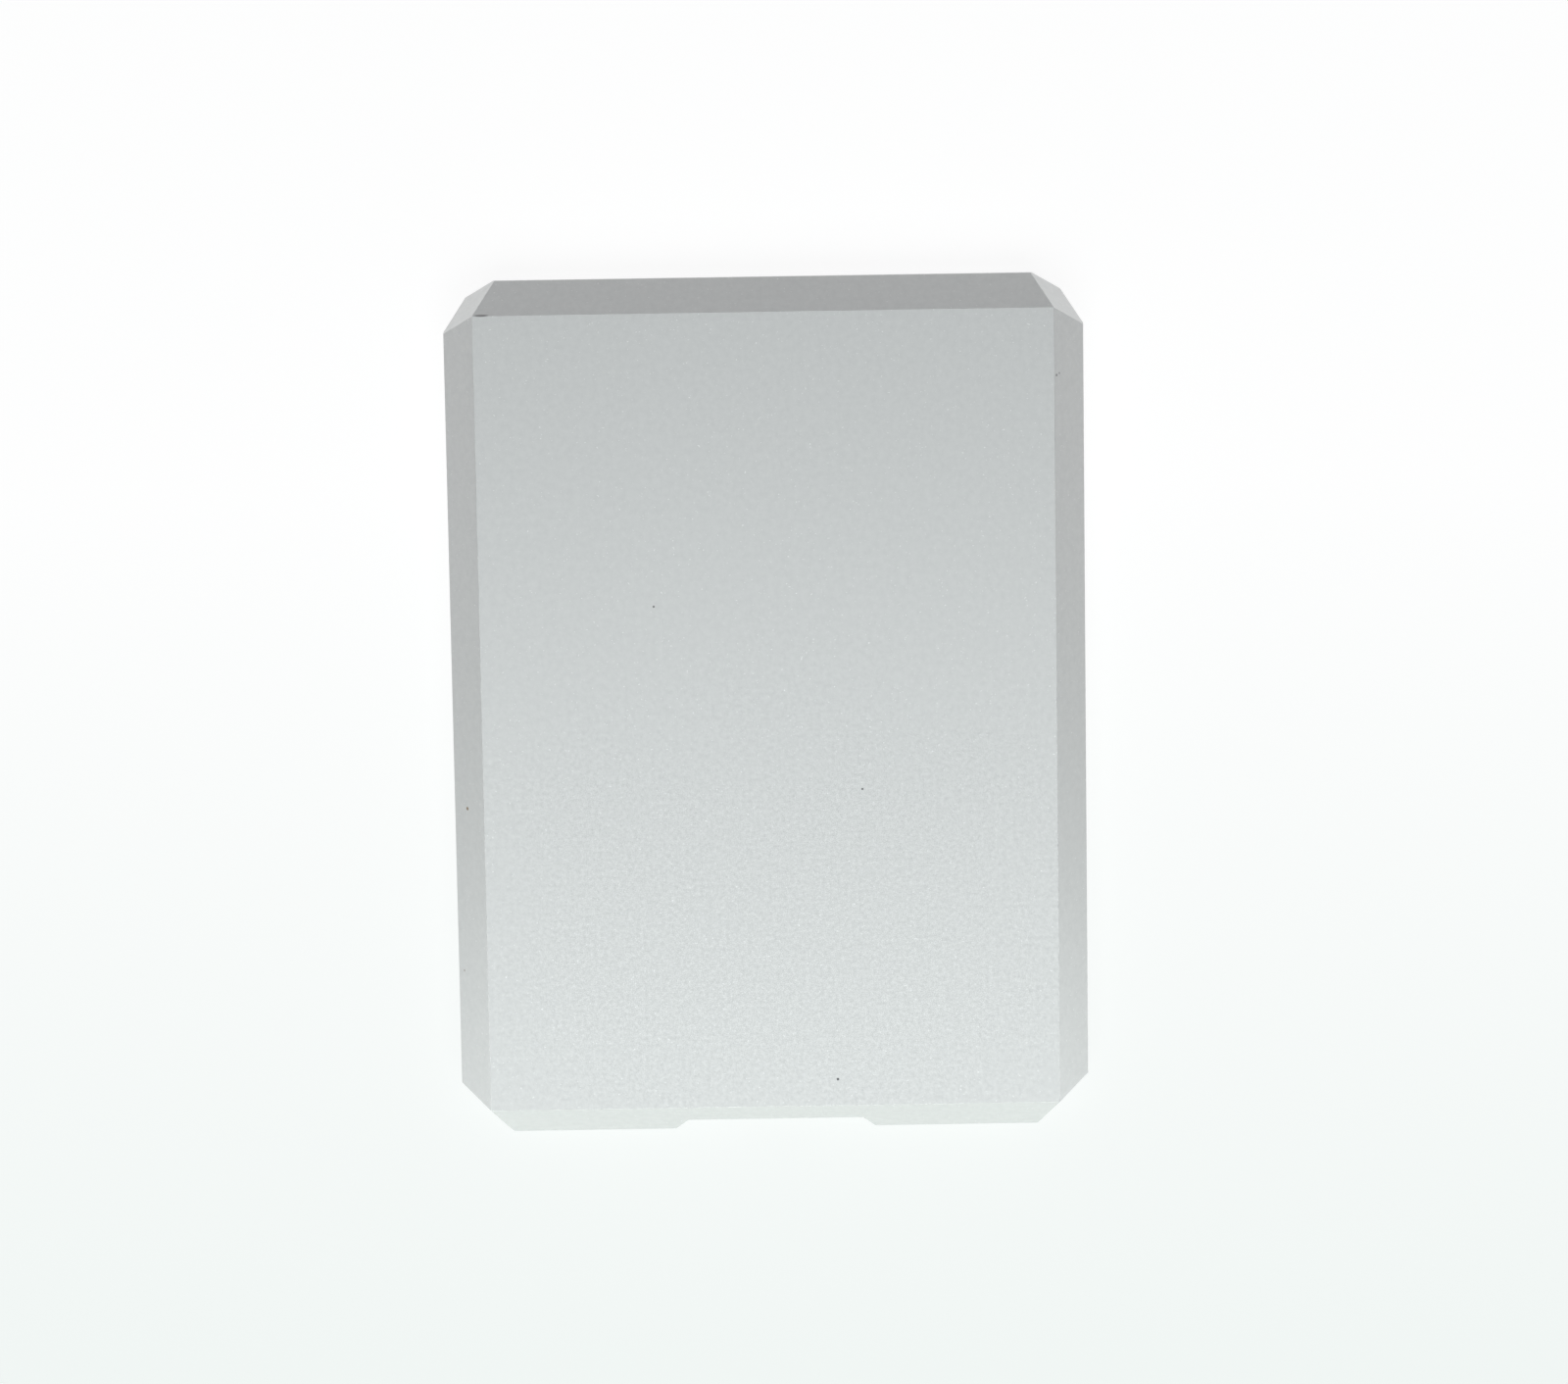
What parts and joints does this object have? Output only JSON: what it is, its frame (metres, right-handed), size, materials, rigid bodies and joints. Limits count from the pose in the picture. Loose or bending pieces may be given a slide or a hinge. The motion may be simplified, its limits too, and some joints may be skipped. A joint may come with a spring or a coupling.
{
  "type": "portable external hard drive",
  "caption": "Slim portable hard drive in a faceted bead-blasted aluminium casing, with a USB-C port in a notch at one end and a disk drive inside.",
  "frame": {"origin": "middle of the back face, on the surface that the drive lies on", "axes": "+X across the drive, +Y from the port end to the far end, +Z out of the front face"},
  "size_m": [0.088, 0.12, 0.011],
  "materials": {
    "blasted_aluminium": "bead-blasted and clear anodised",
    "black_plastic": "moulded, matt",
    "bumper_rubber": "moulded, matt",
    "pad_foam": "closed-cell foam",
    "bridge_laminate": "blue solder mask",
    "drive_laminate": "green solder mask",
    "chip_epoxy": "moulded epoxy",
    "connector_plastic": "moulded, satin",
    "port_steel": "drawn stainless sheet",
    "contact_gold": "gold-plated",
    "ferrite": "sintered ferrite",
    "capacitor_ceramic": "fired ceramic",
    "lamp_resin": "clear resin on white",
    "pipe_acrylic": "frosted clear acrylic",
    "cast_aluminium": "die cast",
    "cover_steel": "stamped stainless sheet",
    "screw_steel": "plated",
    "core_steel": "stamped, nickel-plated",
    "winding_copper": "enamelled wire",
    "magnet_nickel": "nickel-plated magnet",
    "bearing_steel": "ground",
    "turned_aluminium": "turned and milled",
    "disc_mirror": "sputtered, polished",
    "spring_steel": "etched sheet",
    "slider_ceramic": "sintered ceramic, lapped",
    "ramp_polymer": "moulded",
    "filter_felt": "white fibre pad"
  },
  "bodies": {
    "casing": {"front_shell": "blasted_aluminium", "back_shell": "blasted_aluminium", "inner_frame": "black_plastic", "corner_bumpers": "bumper_rubber", "crash_stops": "bumper_rubber", "cover_seal": "bumper_rubber", "front_pad": "pad_foam", "back_pad": "pad_foam", "bridge_board": "bridge_laminate", "drive_board": "drive_laminate", "bridge_controller": "chip_epoxy", "firmware_memory": "chip_epoxy", "drive_controller": "chip_epoxy", "cache_memory": "chip_epoxy", "motor_driver": "chip_epoxy", "usb_tongue": "connector_plastic", "sata_receptacle": "connector_plastic", "sata_plug": "connector_plastic", "usb_shell": "port_steel", "crystal": "port_steel", "usb_contacts": "contact_gold", "power_inductor": "ferrite", "capacitors": "capacitor_ceramic", "status_lamp": "lamp_resin", "light_pipe": "pipe_acrylic", "drive_base": "cast_aluminium", "drive_cover": "cover_steel", "cover_screws": "screw_steel", "board_screws": "screw_steel", "bridge_screws": "screw_steel", "pivot_screw": "screw_steel", "pivot_shaft": "screw_steel", "stator_core": "core_steel", "lower_yoke": "core_steel", "upper_yoke": "core_steel", "stator_coils": "winding_copper", "coil_magnet": "magnet_nickel", "bearing_sleeve": "bearing_steel", "load_ramp": "ramp_polymer", "air_filter": "filter_felt"},
    "spindle": {"spindle_hub": "turned_aluminium", "rotor_magnet": "magnet_nickel", "disc": "disc_mirror", "disc_clamp": "turned_aluminium", "clamp_screw": "screw_steel"},
    "actuator": {"actuator_block": "turned_aluminium", "pivot_sleeve": "bearing_steel", "voice_coil": "winding_copper", "suspensions": "spring_steel", "sliders": "slider_ceramic"}
  },
  "joints": [
    {"name": "spindle_spin", "type": "hinge", "parent": "casing", "child": "spindle", "pos_m": [0, 0.01893, 0.0055], "axis": [0, 0, 1], "continuous": true},
    {"name": "actuator_swing", "type": "hinge", "parent": "casing", "child": "actuator", "pos_m": [-0.01448, -0.02218, 0.0055], "axis": [0, 0, 1], "range_deg": [0, 35.2]}
  ]
}
